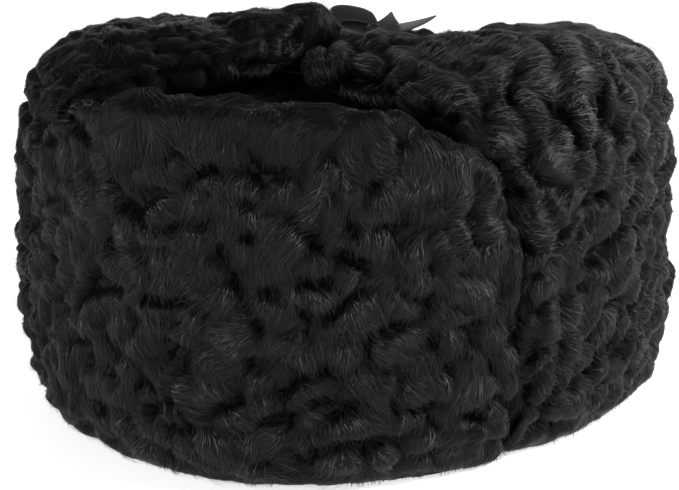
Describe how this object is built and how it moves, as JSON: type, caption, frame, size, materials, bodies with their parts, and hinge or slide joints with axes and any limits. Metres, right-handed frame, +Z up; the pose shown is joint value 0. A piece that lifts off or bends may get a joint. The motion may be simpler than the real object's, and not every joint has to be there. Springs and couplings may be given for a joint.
{
  "type": "karakul cap with tied-up ear flaps",
  "caption": "Soft winter cap in black curled lambskin: a hollow crown with a turned-up front flap and nape flap, and ear flaps folded over the top and tied with a ribbon.",
  "frame": {"origin": "middle of the cap's outline seen from above, on the surface that it rests on", "axes": "+Z up through the crown, -Y the way the wearer faces, +X the wearer's left"},
  "size_m": [0.2168, 0.2552, 0.1244],
  "materials": {
    "crown_fur": "short smooth black lambskin outside, plain black lining inside",
    "karakul_fur": "black curled lambskin, soft silky sheen on the curls, dark creases between them",
    "satin_ribbon": "black satin ribbon with a soft sheen"
  },
  "bodies": {
    "root": {"crown": "crown_fur", "front_flap": "karakul_fur", "nape_flap": "karakul_fur", "ear_flap_left": "karakul_fur", "ear_flap_right": "karakul_fur", "tie_ribbon": "satin_ribbon"}
  },
  "joints": []
}
